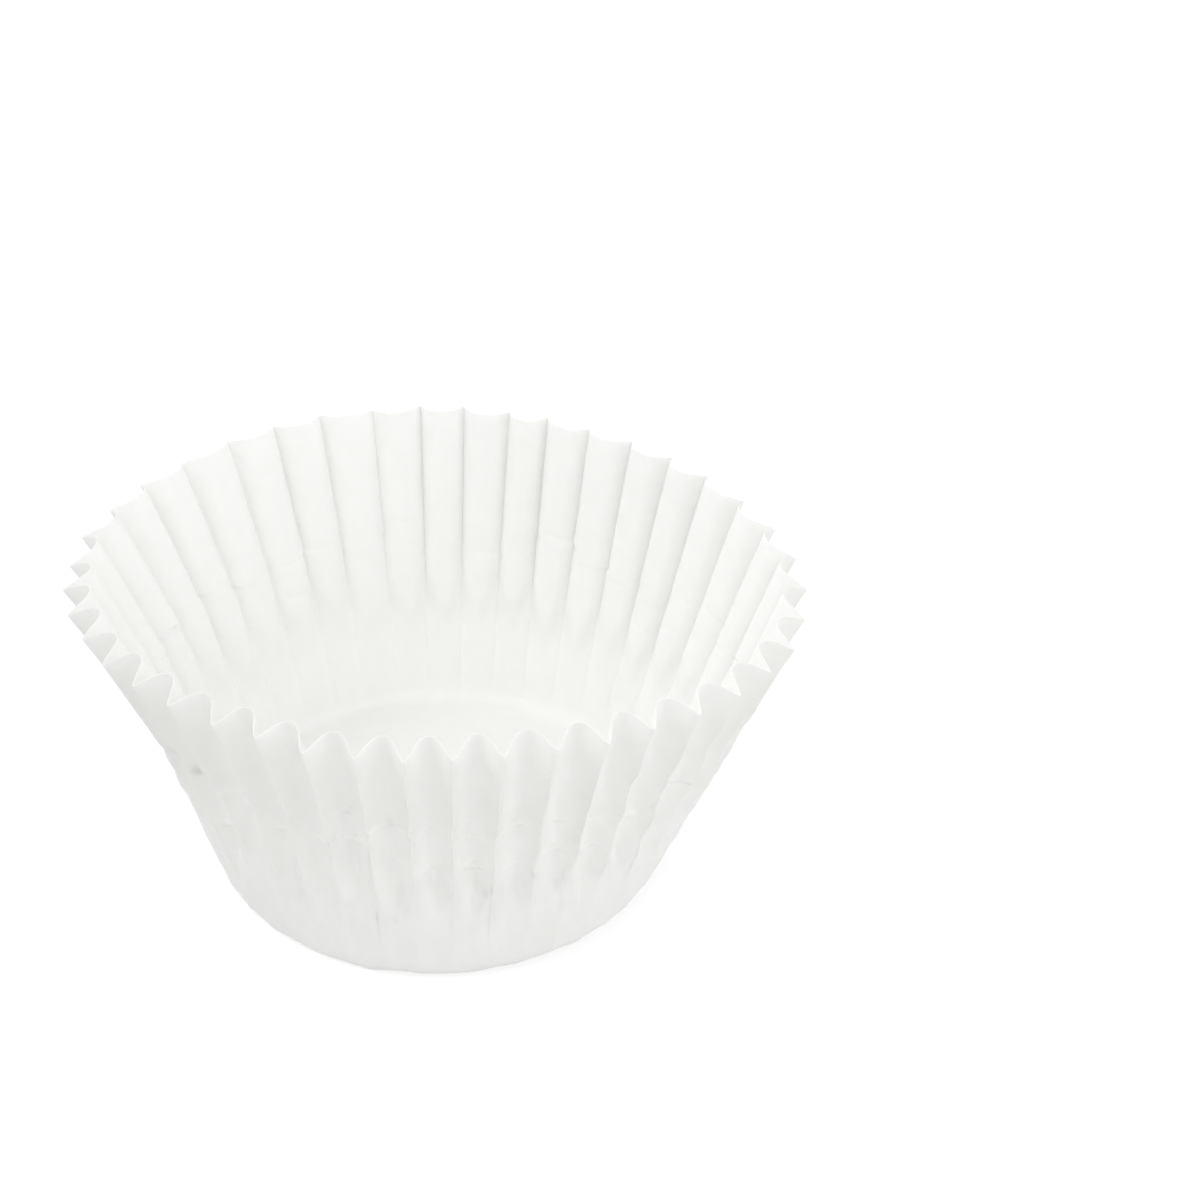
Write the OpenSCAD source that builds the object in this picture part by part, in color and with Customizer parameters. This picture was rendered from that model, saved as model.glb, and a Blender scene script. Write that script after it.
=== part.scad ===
// Fluted paper liner for baking a cupcake, as it stands on a table.
// It is one disc of thin paper: a flat round base, and a wall that is folded into flutes.
// Each flute arches inwards between two sharp folds, and the mouth has eased into an oval.
// The flutes are crushed below a bend that wanders round the wall at about half its height.
// The origin is the middle of the base on the table, X runs along the mouth and Z is up.
// All sizes are in millimetres.

/* [Base] */
// Diameter of the base, out to the corner where the wall turns up
base_d = 50; // [30:1:70]
// Paper that the soft corner takes up on each side of its turn
corner_len = 1.6; // [0.6:0.1:4]
// Thickness of the paper
paper_t = 0.1; // [0.06:0.01:0.3]

/* [Wall] */
// Length of the paper from the corner to the rim
wall_len = 38; // [28:1:60]
// Lean of the wall at the two ends of the mouth, in degrees from upright
end_lean = 24; // [8:1:35]
// Lean of the wall at the two sides of the mouth, in degrees from upright
side_lean = 11; // [5:1:35]

/* [Flutes] */
// Number of flutes round the wall
flutes = 42; // [24:2:60]
// Paper pinched into each fold at the rim, which the arches do without
pinch = 0.7; // [0:0.1:1.5]

/* [Bend] */
// Mean length of the paper from the corner to the crushed bend
bend_at = 19; // [10:1:23]
// How far the bend wanders up and down from that mean
bend_wander = 2.5; // [0:0.1:4]
// Depth to which the wall is pressed in at the bend
bend_in = 1; // [0:0.1:3]
// Length of the paper in the step between the crushed and the open flutes
step_len = 1.6; // [0.8:0.1:3]
// Share of their depth that the flutes keep where they are crushed
crushed = 0.55; // [0.2:0.05:1]

/* [Hidden] */

// Straight steps across one flute, round the corner, and below and above the bend
arch_steps = 6;
corner_steps = 2;
low_steps = 3;
high_steps = 3;

// Width of the wall's flat foot, half of which lies in the floor disc
foot_lap = 1;

// Roundness of an arch, where 2 is a parabola and more is nearer to a box
arch_power = 3;

// Depths of arch that are tried, in chords, and how often that span is halved
flat_arch = 0.01;
deep_arch = 3;
arch_tries = 14;

// Number of slow and of quick waves that the bend makes round the wall
slow_waves = 5;
quick_waves = 16;

base_r = base_d / 2;
floor_r = base_r - corner_len;
end_r = base_r + wall_len * sin(end_lean);
side_r = base_r + wall_len * sin(side_lean);
around = flutes * arch_steps;
wall_rings = low_steps + high_steps + 2;

// One fold stands at the middle of each side, at this angle from X.
first_fold = 90;

// The folds stand at even distances along the oval rim, so they crowd at its ends.
oval = (end_r^2 - side_r^2) / (end_r^2 + side_r^2);
even_turn = oval / 4 * 180 / PI;

function mix(a, b, share) = a + (b - a) * share;
function turned(angle) = [cos(angle), sin(angle)];
function foot_angle(i) = first_fold + i * 360 / flutes;
function rim_angle(i) = foot_angle(i) + even_turn * sin(2 * foot_angle(i));
function rim_point(i) = [end_r * cos(rim_angle(i)), side_r * sin(rim_angle(i))];

// Length along the paper, from the corner, at which the bend crosses point j of a ring
function bend_len(j) =
    let (angle = j * 360 / around)
    bend_at + bend_wander * (cos(slow_waves * angle) + cos(quick_waves * angle)) / 2;

// Length along the paper at which ring k of the wall crosses point j
function ring_len(k, j) =
    k <= low_steps
        ? mix(corner_len, bend_len(j) - step_len, k / low_steps)
        : mix(bend_len(j), wall_len, (k - low_steps - 1) / high_steps);

// Share of its depth that a flute keeps in ring k
function kept(k) = k <= low_steps ? mix(1, crushed, k / low_steps) : 1;

// How far the wall is pressed in at length s, where the bend is at length b
function pressed(s, b) = bend_in * (s < b ? s / b : (wall_len - s) / (wall_len - b));

// Plan position of fold i at length s from the corner, before it is pressed in
function fold_point(i, s) = mix(base_r * turned(foot_angle(i)), rim_point(i), s / wall_len);

// Paper that the flat disc gives each arch at length s from the corner
function arch_paper(s) = 2 * PI * (base_r + s) / flutes - pinch * s / wall_len;

// Height of an arch one unit wide and deep, at share v of its width
function arch_rise(v) = 1 - abs(2 * v - 1)^arch_power;

// Length of an arch one unit wide whose depth is q, up to its step k
function arch_len(q, k = arch_steps) =
    k == 0 ? 0
    : arch_len(q, k - 1)
        + norm([1 / arch_steps, q * (arch_rise(k / arch_steps) - arch_rise((k - 1) / arch_steps))]);

// Depth of the arch one unit wide that has the given length
function arch_depth(length, low = flat_arch, high = deep_arch, tries = arch_tries) =
    let (q = (low + high) / 2)
    tries == 0 ? q
    : arch_len(q) < length ? arch_depth(length, q, high, tries - 1)
    : arch_depth(length, low, q, tries - 1);

// Plan position of point j in ring k of the wall, on the arch of paper in its flute
function wall_point(k, j) =
    let (s = ring_len(k, j), i = floor(j / arch_steps), v = j / arch_steps - i)
    let (start = fold_point(i, s), chord = fold_point(i + 1, s) - start)
    let (depth = kept(k) * arch_depth(arch_paper(s) / norm(chord)))
    start + chord * v + [-chord.y, chord.x] * depth * arch_rise(v)
        - pressed(s, bend_len(j)) * turned(foot_angle(i + v));

// Plan of a plain round ring
function round_ring(radius) = [
    for (j = [0 : around - 1]) radius * turned(first_fold + j * 360 / around)
];

foot_plan = round_ring(floor_r - foot_lap);
floor_plan = round_ring(floor_r);
corner_plan = round_ring(base_r);
wall_plans = [
    for (k = [0 : wall_rings - 1]) [for (j = [0 : around - 1]) wall_point(k, j)]
];

// Height that a point gains over a length of paper from one plan position to the next
function climb(from, to, length) = sqrt(max(length^2 - norm(to - from)^2, 0));

// Heights of ring k, each point at its own length of paper from the corner
function ring_heights(k) =
    k == 0
        ? [for (j = [0 : around - 1]) climb(corner_plan[j], wall_plans[0][j], corner_len)]
        : let (below = ring_heights(k - 1))
        [
            for (j = [0 : around - 1])
                below[j] + climb(wall_plans[k - 1][j], wall_plans[k][j], ring_len(k, j) - ring_len(k - 1, j))
        ];

wall = [
    for (k = [0 : wall_rings - 1])
        let (heights = ring_heights(k))
        [for (j = [0 : around - 1]) concat(wall_plans[k][j], heights[j])]
];

// The corner is a soft curve from the floor to the first ring of the wall.
function corner_point(j, w) =
    let (floor_at = concat(floor_plan[j], 0), corner_at = concat(corner_plan[j], 0))
    mix(mix(floor_at, corner_at, w), mix(corner_at, wall[0][j], w), w);

// The middle of the paper, as rings from the flat foot to the rim
middle = concat(
    [[for (p = foot_plan) concat(p, 0)]],
    [
        for (k = [0 : corner_steps - 1])
            [for (j = [0 : around - 1]) corner_point(j, k / corner_steps)]
    ],
    wall
);
rings = len(middle);

// Outward direction in plan at point j of a ring, longer at a fold to keep the paper even
function plan_unit(v) = [v.x, v.y] / norm([v.x, v.y]);
function outwards(ring, j) =
    let (here = ring[j], last = ring[(j + around - 1) % around], next = ring[(j + 1) % around])
    let (a = plan_unit(here - last), b = plan_unit(next - here))
    [a.y + b.y, -a.x - b.x] / (1 + a * b);

// The paper's outer side faces down at the foot, and turns outwards round the corner.
function facing(r, j) =
    let (turn = min(max(r - 1, 0) / corner_steps, 1) * 90)
    concat(outwards(middle[r], j) * sin(turn), -cos(turn));

// Ring r of the paper's outer side, where side is 1, or of its inner side, where side is -1
function side_ring(r, side) = [
    for (j = [0 : around - 1])
        middle[r][j] + [0, 0, paper_t / 2] + side * paper_t / 2 * facing(r, j)
];

// Index of point j in ring r of the outer side, and of the inner side
function outer(r, j) = r * around + j % around;
function inner(r, j) = rings * around + outer(r, j);
function two_facets(a, b, c, d) = [[a, b, c], [a, c, d]];

module fluted_wall() {
    outer_side = [
        for (r = [0 : rings - 2]) for (j = [0 : around - 1])
            each two_facets(outer(r, j), outer(r + 1, j), outer(r + 1, j + 1), outer(r, j + 1))
    ];
    inner_side = [
        for (r = [0 : rings - 2]) for (j = [0 : around - 1])
            each two_facets(inner(r, j), inner(r, j + 1), inner(r + 1, j + 1), inner(r + 1, j))
    ];
    top = rings - 1;
    rim = [
        for (j = [0 : around - 1])
            each two_facets(outer(top, j), inner(top, j), inner(top, j + 1), outer(top, j + 1))
    ];
    foot = [
        for (j = [0 : around - 1])
            each two_facets(outer(0, j), outer(0, j + 1), inner(0, j + 1), inner(0, j))
    ];
    polyhedron(
        points = [for (side = [1, -1]) for (r = [0 : rings - 1]) each side_ring(r, side)],
        faces = concat(outer_side, inner_side, rim, foot)
    );
}

module paper_liner() {
    color("whitesmoke") {
        cylinder(r = floor_r - foot_lap / 2, h = paper_t, $fn = around);
        fluted_wall();
    }
}

paper_liner();
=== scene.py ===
# A white fluted paper liner for one cupcake, standing open on a white table.
# The scene is in metres. The paper's own sizes are given in millimetres.
import math
import random
import bpy
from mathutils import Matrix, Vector, noise


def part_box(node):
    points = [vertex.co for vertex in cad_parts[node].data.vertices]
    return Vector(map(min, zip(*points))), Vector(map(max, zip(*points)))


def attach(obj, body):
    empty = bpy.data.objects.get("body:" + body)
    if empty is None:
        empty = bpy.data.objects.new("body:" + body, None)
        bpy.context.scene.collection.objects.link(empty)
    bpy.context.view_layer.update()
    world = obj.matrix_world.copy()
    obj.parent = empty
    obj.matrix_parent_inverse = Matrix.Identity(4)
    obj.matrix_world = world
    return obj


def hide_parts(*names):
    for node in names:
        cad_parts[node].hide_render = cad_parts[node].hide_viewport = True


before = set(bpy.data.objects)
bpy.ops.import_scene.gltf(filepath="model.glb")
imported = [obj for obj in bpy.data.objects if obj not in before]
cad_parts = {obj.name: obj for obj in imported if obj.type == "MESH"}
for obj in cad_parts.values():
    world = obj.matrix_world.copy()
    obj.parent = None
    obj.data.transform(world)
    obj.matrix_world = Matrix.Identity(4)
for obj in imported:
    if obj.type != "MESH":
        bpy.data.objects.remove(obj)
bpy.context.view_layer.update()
print("frame loaded")

mm = 0.001  # in the scene's metres

liner = {
    "flutes": 42,
    "baseDia": 50.6,  # out to the corner where the wall turns up
    "cornerLen": 1.8,  # paper in each side of the soft corner
    "wallLen": 38.0,  # paper from the corner to the rim
    "paper": 0.05,  # thickness of the sheet
    "pinch": (2.2, 0.6),  # paper lost in each fold at the rim, at the back and at the front
    # softness of a fold and boxiness of an arch, at the back and at the front
    "wallShape": ((1.0, 4.2), (1.2, 2.2)),
    "rimShape": ((1.0, 3.2), (1.6, 2.6)),  # the same at the rim, where the flutes have eased open
    "easedLen": 9.0,  # how far down from the rim that reaches
    "tipDip": 0.4,  # how far the fold tips are cut below the arches
    "tipLen": 4.0,  # how far down from the rim that reaches
    "leastClimb": 0.35,  # share of its length that the paper climbs at least
}

floor = {
    "rise": 0.25,  # the middle of the base lifts this far
    "riseRate": 1.6,  # more lifts a wider part of it
    "stray": 1.6,  # how far the edge of the flat floor strays from a circle
    "strayRate": 7,  # more makes that edge busier
    "wave": 0.12,  # unevenness of the floor
    "waveSize": 5,
    "waveRate": 5,  # more brings the waves nearer to the edge
}

mouthWaves = {  # slow waves of the rim: size in mm, waves round the mouth, degrees to shift them by
    "out": ((0.37, 0, 0), (0.15, 1, -151), (0.78, 2, -38), (0.32, 3, 46)),
    "along": ((0.15, 0, 0), (0.25, 1, 45), (0.45, 2, 20), (0.43, 3, 98)),
    "up": ((0.13, 0, 0), (0.09, 1, 138), (0.25, 2, 15), (0.52, 3, -109)),
}

crush = {
    "strength": (0.08, 1.0),  # at the back and at the front
    "height": 22.0,  # paper from the corner up to the row of crush marks
    "wander": 1.6,  # slow wave of that row round the wall
    "wanderWaves": ((3, 0.6), (7, 0.0)),  # its waves round the wall, and their shifts in radians
    "scatter": 2.2,  # how much single marks stray from it
    "foldScatter": 0.5,  # share of that at the folds
    "archRate": 2.6,  # more widens the part of a mark that has its arch's own height
    "lowerDrop": (3.0, 6.5),  # from a flute's mark down to its lower one, least and most
    "lowerStep": 0.5,  # share of the lower marks' heights that jumps from flute to flute
    "pressedIn": (0.1, 0.8),  # depth to which the wall is pressed in there, back and front
    "pressedLeft": 0.6,  # so much more at the left end and less at the right
    "ridge": 0.6,  # height of the thin ridge that marks a crushed flute
    "ridgeShares": (0.25, 1.25),  # least and most of that in a flute
    "lowerShares": (0, 0.4, 0.7, 1.0),  # what a lower ridge may have of it
    "ridgeWidth": 0.38,  # half its width up the wall
    "ridgeFlare": 2,  # how many times that it widens by at its ends
    "ridgeReach": 0.36,  # half its length, as a share of the flute
    "slant": 2.4,  # how far it may lie askew across a whole flute
    "ledge": 0.11,  # share of its depth that a flute loses below its ridge
    "ledgeLen": 0.5,  # length over which it does
    "jog": (0.22, 0.25),  # sideways kink of a fold as it crosses the row, back and front
    "jogShares": (0.3, 1.1),  # least and most of that at a fold
    "jogLen": 1.2,
    "jogRate": 4,  # more makes the kink more sudden
    "kept": (0.4, 0.22),  # share of their depth that the flutes keep at their lowest
    "valleyEnd": 9.5,  # where the deep valleys run out in points
    "valleyStray": 1.5,  # how far single ones stray from that
    "pointLen": 5.5,  # length of those points
    "pointRound": 1.5,  # 1 gives them straight sides, and more gives them rounder ones
    "taper": 3.6,  # length over which a valley gets its depth
}

unevenness = {
    "seed": 11,
    "foldStray": 0.3,  # sideways, at the rim
    "reachStray": 0.25,  # outwards, at the rim
    "tipStray": 0.15,  # up and down, at the rim
    "streak": 0.55,  # upright streaks in the crushed paper
    "streakWidth": 1.7,
    "streakLen": 7.0,
    "crease": 0.5,  # sharper creases there
    "creaseSize": 3.2,
    "creaseLevel": 0.25,  # where in the noise they lie as far in as out
    "creaseShift": (3, 9, 2),
    "crumpledTo": (24, 35),  # how far up they reach, on the left and at the front right
    "crumpledFade": 5,  # length over which they fade
    "rightShift": 0.8,  # middle of the front right part, in radians from the right end
    "rightRate": 2.5,  # more makes that part narrower
    "smoothTo": 2,  # the paper is smooth up to here
    "smoothFade": 6,
    "ripple": 0.04,  # fainter ones everywhere
    "rippleSize": 6.0,
    "rippleShift": (7, 3, 1),
}

meshDetail = {
    "archSteps": 16,
    "archSpread": 1.0,  # crowds the steps towards the folds
    "archTries": 14,  # halvings in the search for an arch's depth
    "deepest": 2,  # where it starts, in widths of the flute
    "floorRings": 5,
    "cornerRings": 4,
    "markReach": 0.8,  # rings crowd this near to a crush mark
    "wallRings": (9, 9, 7, 11, 20),  # below, at and between the two marks of a flute, and above them
    "liftStep": 1.0,  # between the rings as they are laid out
    "sharpAngle": 38,  # degrees from which an edge stays sharp
}

flutes = liner["flutes"]
archSteps = meshDetail["archSteps"]
around = flutes * archSteps
baseR = liner["baseDia"] / 2
floorR = baseR - liner["cornerLen"]
wallLen = liner["wallLen"]
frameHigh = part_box("paper_liner")[1]
endR = frameHigh[0] / mm  # half the mouth's length over the fold tips
sideR = frameHigh[1] / mm  # half its width
evenTurn = (endR**2 - sideR**2) / (endR**2 + sideR**2) / 4  # spreads the folds evenly along the oval


def mix(a, b, share):
    return a + (b - a) * share


def ease(x):
    x = min(max(x, 0.0), 1.0)
    return x * x * (3 - 2 * x)


def turned(angle):
    return Vector((math.cos(angle), math.sin(angle)))


def deselectAll():
    if bpy.context.object and bpy.context.object.mode != "OBJECT":
        bpy.ops.object.mode_set(mode="OBJECT")
    bpy.ops.object.select_all(action="DESELECT")


def footAngle(i):  # direction of fold i at the base, the first at the middle of the back
    return math.pi / 2 + 2 * math.pi * i / flutes


def byFront(pair, i):  # between the back's value and the front's, at place i counted in flutes
    return mix(*pair, 0.5 - 0.5 * math.sin(footAngle(i)))


def offCentre(v):  # from 0 in the middle of a flute to 1 on its folds
    return abs(2 * v - 1)


dice = random.Random(unevenness["seed"])
strays = [
    {
        "side": dice.uniform(-1, 1) * unevenness["foldStray"],
        "reach": dice.uniform(-1, 1) * unevenness["reachStray"],
        "tip": dice.uniform(-1, 1) * unevenness["tipStray"],
        "foldMark": dice.uniform(-1, 1) * crush["scatter"] * crush["foldScatter"],
        "arcMark": dice.uniform(-1, 1) * crush["scatter"],
        "ridge": dice.uniform(*crush["ridgeShares"]),
        "lowerMark": dice.uniform(*crush["lowerDrop"]),
        "lowerRidge": dice.choice(crush["lowerShares"]),
        "slant": dice.uniform(-1, 1),
        "jog": dice.choice((-1, 1)) * dice.uniform(*crush["jogShares"]),
        "valley": dice.uniform(-crush["valleyStray"], crush["valleyStray"]),
    }
    for _ in range(flutes)
]


def wave(name, i):
    return sum(
        size * math.cos(turns * footAngle(i) - math.radians(shift))
        for size, turns, shift in mouthWaves[name]
    )


def stray(name, i):
    return strays[i % flutes][name]


def rimPlace(i):  # plan of fold i at the rim
    foot = footAngle(i)
    turn = foot + evenTurn * math.sin(2 * foot)
    along = Vector((-endR * math.sin(turn), sideR * math.cos(turn))).normalized()
    out = Vector((along.y, -along.x))
    place = Vector((endR * math.cos(turn), sideR * math.sin(turn)))
    reach = wave("out", i) + stray("reach", i) - unevenness["reachStray"]
    return place + along * (wave("along", i) + stray("side", i)) + out * reach


rimPlaces = [rimPlace(i) for i in range(flutes)]


def rowHeight(i):  # paper from the corner up to the middle of the crush row
    waves = crush["wanderWaves"]
    swing = sum(math.sin(turns * footAngle(i) + shift) for turns, shift in waves)
    return crush["height"] + crush["wander"] * swing / len(waves)


def foldMark(i):
    return rowHeight(i) + stray("foldMark", i)


def arcMark(i):
    return rowHeight(i + 0.5) + stray("arcMark", i)


def foldLine(i, s):  # plan of fold i where the paper is s long from the corner
    return (turned(footAngle(i)) * baseR).lerp(rimPlaces[i % flutes], s / wallLen)


def foldPlace(i, s):  # the same with its kink at the crush row
    x = (s - foldMark(i)) / crush["jogLen"]
    kink = math.tanh(crush["jogRate"] * x) * math.exp(-abs(x))
    jog = stray("jog", i) * byFront(crush["jog"], i) * kink
    return foldLine(i, s) + turned(footAngle(i) + math.pi / 2) * jog


def archShare(k):  # place across a flute of step k
    spread = meshDetail["archSpread"]
    return 0.5 + 0.5 * math.sin((2 * k / archSteps - 1) * spread) / math.sin(spread)


archShares = [archShare(k) for k in range(archSteps + 1)]


def archRise(i, v, s):  # rise of flute i at share v of its width, from 0 on the folds to 1
    eased = ease(1 - (wallLen - s) / liner["easedLen"])
    soft, boxy = (
        mix(byFront((back, front), i + 0.5), byFront((rimBack, rimFront), i + 0.5), eased)
        for back, front, rimBack, rimFront in zip(*liner["wallShape"], *liner["rimShape"])
    )
    return 1 - (1 - (1 - offCentre(v)) ** soft) ** boxy


def archDepth(i, s):  # depth of the arch that takes up the paper of flute i at length s
    chord = (foldLine(i + 1, s) - foldLine(i, s)).length
    pinched = byFront(liner["pinch"], i + 0.5) * s / wallLen
    paper = 2 * math.pi * (baseR + s) / flutes - pinched
    rises = [archRise(i, v, s) for v in archShares]
    widths = [(b - a) * chord for a, b in zip(archShares, archShares[1:])]
    climbs = [b - a for a, b in zip(rises, rises[1:])]
    low, high = 0.0, meshDetail["deepest"] * chord
    for _ in range(meshDetail["archTries"]):
        depth = (low + high) / 2
        if sum(math.hypot(w, depth * c) for w, c in zip(widths, climbs)) < paper:
            low = depth
        else:
            high = depth
    return depth


archDepths = [[archDepth(i, s) for s in range(math.ceil(wallLen) + 1)] for i in range(flutes)]


def keptDepth(i, v, s, mark):  # share of its depth that flute i keeps
    point = crush["pointLen"] * offCentre(v) ** crush["pointRound"]
    end = crush["valleyEnd"] + stray("valley", i) + point
    below = 1 - ease((s - mark) / crush["ledgeLen"] + 0.5)
    ledge = crush["ledge"] * byFront(crush["strength"], i + 0.5) * below
    kept = byFront(crush["kept"], i + 0.5)
    return mix(kept, 1 - ledge, ease((s - end) / crush["taper"]))


def ridged(i, v, s, mark, lowerMark):  # how far the crush ridges push the paper out
    edge = offCentre(v) / (2 * crush["ridgeReach"])
    if edge >= 1:
        return 0.0
    width = crush["ridgeWidth"] * (1 + crush["ridgeFlare"] * edge)
    slant = (v - 0.5) * crush["slant"] * stray("slant", i)
    upper = max(0.0, 1 - abs(s - mark - slant) / width) * stray("ridge", i)
    lower = max(0.0, 1 - abs(s - lowerMark + slant) / width) * stray("lowerRidge", i)
    return (upper + lower) * (1 - edge**2) * crush["ridge"] * byFront(crush["strength"], i + 0.5)


def markLengths(i, v):  # paper up to the crush mark and the lower one, at share v of flute i
    height = mix(foldMark(i), foldMark(i + 1), v)
    upper = mix(height, arcMark(i), ease(crush["archRate"] * (1 - offCentre(v))))
    here, following = stray("lowerMark", i), stray("lowerMark", i + 1)
    return upper, upper - mix(mix(here, following, v), here, crush["lowerStep"])


def ringLengths(marks):  # paper up to each ring of the wall, in one column of the sheet
    near = meshDetail["markReach"]
    upper, lower = marks
    stops = (liner["cornerLen"], lower - near, lower + near, upper - near, upper + near, wallLen)
    lengths = []
    for start, end, count in zip(stops, stops[1:], meshDetail["wallRings"]):
        lengths += [mix(start, end, n / count) for n in range(count)]
    return lengths + [wallLen]


def wallPlan(i, v, s, marks):  # plan of the paper at share v of flute i
    start, end = foldPlace(i, s), foldPlace(i + 1, s)
    inwards = Vector((start.y - end.y, end.x - start.x)).normalized()
    n = min(int(s), len(archDepths[i]) - 2)
    depth = mix(archDepths[i][n], archDepths[i][n + 1], s - n) * keptDepth(i, v, s, marks[0])
    angle = footAngle(i + v)
    pressed = byFront(crush["pressedIn"], i + v) - crush["pressedLeft"] * math.cos(angle)
    pressed *= min(s / marks[0], (wallLen - s) / (wallLen - marks[0]))
    return start.lerp(end, v) + inwards * depth * archRise(i, v, s) - turned(angle) * pressed


def sheetAngle(j):  # angle of column j of the flat sheet
    return footAngle(j // archSteps + archShares[j % archSteps])


def crumpled(i, v, s):  # share of the crushed paper's creases at length s
    rate = unevenness["rightRate"]
    right = ease(rate * math.cos(footAngle(i + v) + unevenness["rightShift"]) - (rate - 1))
    top = mix(*unevenness["crumpledTo"], right)
    return byFront(crush["strength"], i + v) * ease((top - s) / unevenness["crumpledFade"])


def roughened(point, i, v, s):  # with its creases, and with the rim's own height
    shifted = point / unevenness["creaseSize"] + Vector(unevenness["creaseShift"])
    crease = unevenness["creaseLevel"] - abs(noise.noise(shifted))
    width = unevenness["streakWidth"]
    high = point.z / unevenness["streakLen"]
    streak = noise.noise(Vector((point.x / width, point.y / width, high)))
    bump = unevenness["streak"] * streak + unevenness["crease"] * crease
    bump *= crumpled(i, v, s)
    shifted = point / unevenness["rippleSize"] + Vector(unevenness["rippleShift"])
    bump += unevenness["ripple"] * noise.noise(shifted)
    bump *= ease((s - unevenness["smoothTo"]) / unevenness["smoothFade"])
    nearRim = ease(1 - (wallLen - s) / liner["tipLen"])
    tip = mix(stray("tip", i), stray("tip", i + 1), v)
    dip = liner["tipDip"] * (1 - archRise(i, v, s)) ** 2
    up = nearRim * (tip - dip) + wave("up", i + v) * s / wallLen
    out = Vector((point.x, point.y, 0)).normalized()
    return point + out * bump + Vector((0, 0, up))


def wallColumn(j):  # places up the wall of column j of the sheet
    i, k = divmod(j, archSteps)
    v = archShares[k]
    marks = markLengths(i, v)
    column, height = [], 0.0
    below, belowAt = turned(sheetAngle(j)) * baseR, 0.0
    for s in ringLengths(marks):
        plan = wallPlan(i, v, s, marks)
        step = s - belowAt
        # the paper keeps its length, so what it moves sideways it doesn't climb
        least = (liner["leastClimb"] * step) ** 2
        height += math.sqrt(max(step**2 - (plan - below).length_squared, least))
        place = plan + turned(footAngle(i + v)) * ridged(i, v, s, *marks)
        column.append(roughened(Vector((place.x, place.y, height)), i, v, s))
        below, belowAt = plan, s
    return column


def roundSheet():  # the floor flat, and the wall's rings stacked above its edge
    deselectAll()
    bpy.ops.mesh.primitive_circle_add(vertices=around, radius=floorR, fill_type="NGON")
    sheet = bpy.context.object
    sheet.name = sheet.data.name = "liner_paper"
    bpy.ops.object.mode_set(mode="EDIT")
    bpy.ops.mesh.select_mode(type="FACE")
    bpy.ops.mesh.select_all(action="SELECT")
    for _ in range(meshDetail["floorRings"]):  # half a ring is left in the middle
        bpy.ops.mesh.inset(thickness=floorR / (meshDetail["floorRings"] + 0.5), depth=0)
    bpy.ops.mesh.poke()
    bpy.ops.mesh.select_all(action="DESELECT")
    bpy.ops.mesh.select_mode(type="EDGE")
    bpy.ops.mesh.select_non_manifold()
    lift = {"value": (0, 0, meshDetail["liftStep"])}
    for _ in range(meshDetail["cornerRings"] + sum(meshDetail["wallRings"])):
        bpy.ops.mesh.extrude_region_move(TRANSFORM_OT_translate=lift)
    bpy.ops.object.mode_set(mode="OBJECT")
    return sheet


def foldedSheet():
    sheet = roundSheet()
    print("sheet laid out,", len(sheet.data.vertices), "points")
    wall = [wallColumn(j) for j in range(around)]
    cornerRings = meshDetail["cornerRings"]
    for vertex in sheet.data.vertices:
        flat = vertex.co.copy()
        j = round(math.atan2(flat.y, flat.x) / (2 * math.pi) * around) % around
        ring = round(flat.z / meshDetail["liftStep"])
        out = turned(sheetAngle(j)).to_3d()
        floorEdge = out * (floorR + floor["stray"] * noise.noise(out * floor["strayRate"]))
        if ring == 0:
            share = math.hypot(flat.x, flat.y) / floorR
            place = floorEdge * share
            place.z = floor["rise"] * ease((1 - share) * floor["riseRate"])
            waves = 1 + noise.noise(place / floor["waveSize"])
            place.z += floor["wave"] * waves * ease((1 - share) * floor["waveRate"])
        elif ring < cornerRings:
            w = ring / cornerRings
            corner = out * baseR
            place = floorEdge.lerp(corner, w).lerp(corner.lerp(wall[j][0], w), w)
        else:
            place = wall[j][ring - cornerRings]
        vertex.co = (place + Vector((0, 0, liner["paper"] / 2))) * mm
    print("flutes folded")
    return sheet


def thickened(sheet):
    deselectAll()
    sheet.select_set(True)
    bpy.context.view_layer.objects.active = sheet
    bpy.ops.object.mode_set(mode="EDIT")
    bpy.ops.mesh.select_all(action="SELECT")
    bpy.ops.mesh.normals_make_consistent(inside=False)
    bpy.ops.object.mode_set(mode="OBJECT")
    solid = sheet.modifiers.new("paper", "SOLIDIFY")
    solid.thickness = liner["paper"] * mm
    solid.offset = 0
    bpy.ops.object.modifier_apply(modifier=solid.name)
    bpy.ops.object.shade_smooth_by_angle(angle=math.radians(meshDetail["sharpAngle"]))
    return sheet


def paint(hexCode):  # sRGB hex to Blender's linear colour
    parts = [int(hexCode[i : i + 2], 16) / 255 for i in (1, 3, 5)]
    linear = [c / 12.92 if c <= 0.04045 else ((c + 0.055) / 1.055) ** 2.4 for c in parts]
    return (*linear, 1.0)


def addNode(tree, kind, inputs=None, links=None, **settings):
    node = tree.nodes.new(kind)
    for name, value in settings.items():
        setattr(node, name, value)
    for name, value in (inputs or {}).items():
        node.inputs[name].default_value = value
    for name, source in (links or {}).items():
        tree.links.new(source, node.inputs[name])
    return node


def seenDirectly(tree):  # 1 where the camera looks straight at it, or in a mirror or through glass
    rays = addNode(tree, "ShaderNodeLightPath").outputs
    straight = addNode(tree, "ShaderNodeMath",
        links={0: rays["Is Camera Ray"], 1: rays["Is Glossy Ray"]}, operation="MAXIMUM")
    return addNode(tree, "ShaderNodeMath",
        links={0: straight.outputs[0], 1: rays["Is Transmission Ray"]}, operation="MAXIMUM")


def newMaterial(name):
    material = bpy.data.materials.new(name)
    material.use_nodes = True
    material.node_tree.nodes.clear()
    return material, material.node_tree


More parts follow.
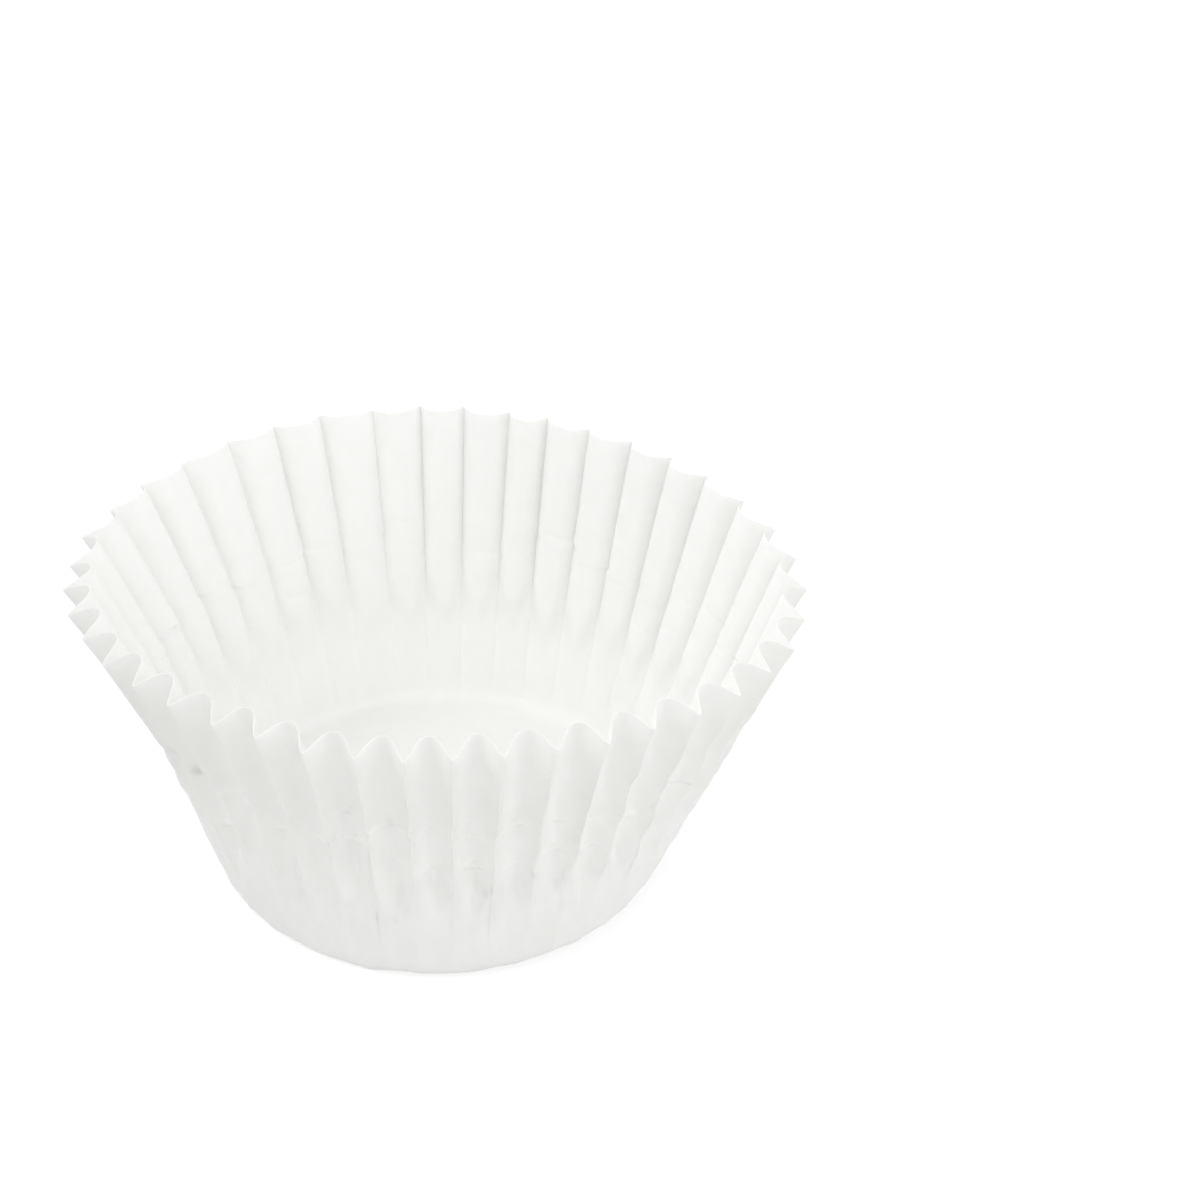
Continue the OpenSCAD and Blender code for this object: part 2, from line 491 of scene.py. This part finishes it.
greaseproof = {
    "white": "#FEFEFD",
    "thin": "#FBFCFA",  # the cloudy places where the fibres lie thinner
    "cloudTone": (0.3, 0.56),  # between which values of the noise one turns into the other
    "glow": "#FEFEFD",  # light that has come through the sheet
    "through": 0.48,  # share of the light that each side lets in
    "cloud": 2.2,  # mm, size of a cloud in the fibre
    "fibre": 0.45,  # mm, drawn coarser than real fibre so that it shows
    "tooth": 0.02,  # mm, depth of the fibre in the surface
    "roughness": 0.62,
    "ior": 1.45,  # cellulose
}


def greaseproofPaper():
    # greaseproof paper, calendered: matt and even, faintly cloudy, and light shines through it
    material, tree = newMaterial("greaseproof_paper")
    place = addNode(tree, "ShaderNodeTexCoord").outputs["Object"]
    clouds = addNode(tree, "ShaderNodeTexNoise",
        {"Scale": 1 / (greaseproof["cloud"] * mm), "Detail": 3.0, "Roughness": 0.6},
        {"Vector": place})
    fibre = addNode(tree, "ShaderNodeTexNoise",
        {"Scale": 1 / (greaseproof["fibre"] * mm), "Detail": 2.0, "Roughness": 0.7},
        {"Vector": place})
    tone = addNode(tree, "ShaderNodeValToRGB", links={"Fac": clouds.outputs["Fac"]})
    colours = greaseproof["thin"], greaseproof["white"]
    for stop, at, colour in zip(tone.color_ramp.elements, greaseproof["cloudTone"], colours):
        stop.position = at
        stop.color = paint(colour)
    bump = addNode(tree, "ShaderNodeBump",
        {"Strength": 0.5, "Distance": greaseproof["tooth"] * mm},
        {"Height": fibre.outputs["Fac"]})
    surface = addNode(tree, "ShaderNodeBsdfPrincipled",
        {"Roughness": greaseproof["roughness"], "IOR": greaseproof["ior"],
         "Specular IOR Level": 0.35},
        {"Base Color": tone.outputs["Color"], "Normal": bump.outputs["Normal"]})
    glow = addNode(tree, "ShaderNodeBsdfTranslucent",
        {"Color": paint(greaseproof["glow"])},
        {"Normal": bump.outputs["Normal"]})
    both = addNode(tree, "ShaderNodeMixShader",
        {0: greaseproof["through"]},
        {1: surface.outputs[0], 2: glow.outputs[0]})
    addNode(tree, "ShaderNodeOutputMaterial", links={"Surface": both.outputs[0]})
    return material


table = {
    "size": 4.0,
    "colour": "#C4C4C4",  # what the paper gets its bounced light from
    "seen": 0.45,  # share of the table's own shading that the camera sees
    "white": 0.61,  # even white under that shading
}


def tableWhite():
    # laminate board, matt white, brightened for the camera so that it runs into the white behind
    material, tree = newMaterial("white_laminate")
    seen = seenDirectly(tree)
    board = addNode(tree, "ShaderNodeBsdfDiffuse", {"Color": paint(table["colour"])})
    dim = addNode(tree, "ShaderNodeBsdfDiffuse", {"Color": (table["seen"],) * 3 + (1,)})
    white = addNode(tree, "ShaderNodeEmission", {"Strength": table["white"]})
    shown = addNode(tree, "ShaderNodeAddShader", links={0: dim.outputs[0], 1: white.outputs[0]})
    both = addNode(tree, "ShaderNodeMixShader",
        links={0: seen.outputs[0], 1: board.outputs[0], 2: shown.outputs[0]})
    addNode(tree, "ShaderNodeOutputMaterial", links={"Surface": both.outputs[0]})
    return material


def whiteTable():
    deselectAll()
    bpy.ops.mesh.primitive_plane_add(size=table["size"])
    plane = bpy.context.object
    plane.name = "table_top"
    plane.data.materials.append(tableWhite())


light = {
    "sky": 0.85,  # even light from all round
    "white": (1, 1, 1, 1),
    "lamps": {  # where each stands in metres, its watts and its width
        "left_lamp": ((-0.6, -0.15, 1.0), 3.6, 0.7),
        "right_lamp": ((0.5, -0.7, 0.9), 1.1, 0.8),
        "low_lamp": ((0.9, -0.5, 0.15), 1.3, 0.5),  # brings out the flutes in front
    },
    "lit": (0, 0, 0.02),  # where they point
}


def softLamp(name, place, power, size):
    towards = (Vector(light["lit"]) - Vector(place)).to_track_quat("-Z", "Y").to_euler()
    bpy.ops.object.light_add(type="AREA", location=place, rotation=towards)
    lamp = bpy.context.object
    lamp.name = name
    lamp.data.energy = power
    lamp.data.size = size


def studioLight():
    world = bpy.context.scene.world or bpy.data.worlds.new("studio")
    bpy.context.scene.world = world
    world.use_nodes = True
    tree = world.node_tree
    tree.nodes.clear()
    seen = seenDirectly(tree)
    sky = addNode(tree, "ShaderNodeBackground", {"Color": light["white"], "Strength": light["sky"]})
    shown = addNode(tree, "ShaderNodeBackground", {"Color": light["white"], "Strength": 1.0})
    both = addNode(tree, "ShaderNodeMixShader",
        links={0: seen.outputs[0], 1: sky.outputs[0], 2: shown.outputs[0]})
    addNode(tree, "ShaderNodeOutputWorld", links={"Surface": both.outputs[0]})
    for name, (place, power, size) in light["lamps"].items():
        softLamp(name, place, power, size)


view = {
    "turned": 6.4,  # degrees round the liner from its front
    "above": 38.14,  # degrees
    "distance": 0.5,
    "middle": (0, 0, 0.0185),  # the point that these are measured from
    "aim": (0.01778, 0.00866, 0.02771),  # what stands in the middle of the picture
    "lens": 133.2,
    "sensor": 36,
    "nearest": 0.01,
}


def camera():
    turn, rise = math.radians(view["turned"]), math.radians(view["above"])
    back = Vector((math.sin(turn) * math.cos(rise), -math.cos(turn) * math.cos(rise), math.sin(rise)))
    eye = Vector(view["middle"]) + back * view["distance"]
    look = (Vector(view["aim"]) - eye).to_track_quat("-Z", "Y").to_euler()
    bpy.ops.object.camera_add(location=eye, rotation=look)
    shot = bpy.context.object
    shot.data.lens = view["lens"]
    shot.data.sensor_width = view["sensor"]
    shot.data.clip_start = view["nearest"]
    bpy.context.scene.camera = shot


camera()
print("camera set")
paperLiner = thickened(foldedSheet())
paperLiner.data.materials.append(greaseproofPaper())
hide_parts("paper_liner")
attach(paperLiner, "root")
print("liner made,", len(paperLiner.data.polygons), "faces")
whiteTable()
studioLight()
print("table and light set")
bpy.context.scene.view_settings.view_transform = "Standard"
